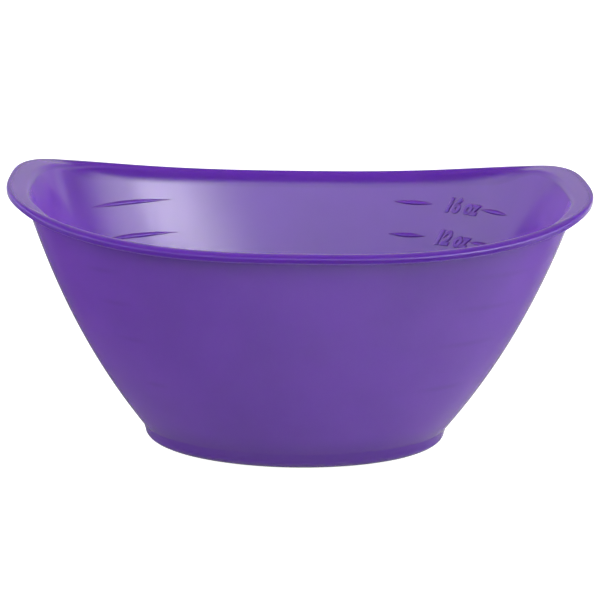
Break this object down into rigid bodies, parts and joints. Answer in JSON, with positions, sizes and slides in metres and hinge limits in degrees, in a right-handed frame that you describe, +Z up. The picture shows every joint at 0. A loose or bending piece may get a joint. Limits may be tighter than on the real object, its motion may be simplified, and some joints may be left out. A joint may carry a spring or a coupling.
{
  "type": "hair color bowl",
  "caption": "Oval mixing bowl for hair color, with flared walls, a saddle-shaped lip raised at both ends, a short foot ring and raised filling marks inside.",
  "frame": {"origin": "centre of the plane the foot ring stands on", "axes": "+Z up, +X along the bowl's length towards one of its two raised ends, +Y across its width"},
  "size_m": [0.1586, 0.127, 0.074],
  "materials": {
    "bowl": "satin"
  },
  "bodies": {
    "root": {"bowl": "bowl"}
  },
  "joints": []
}
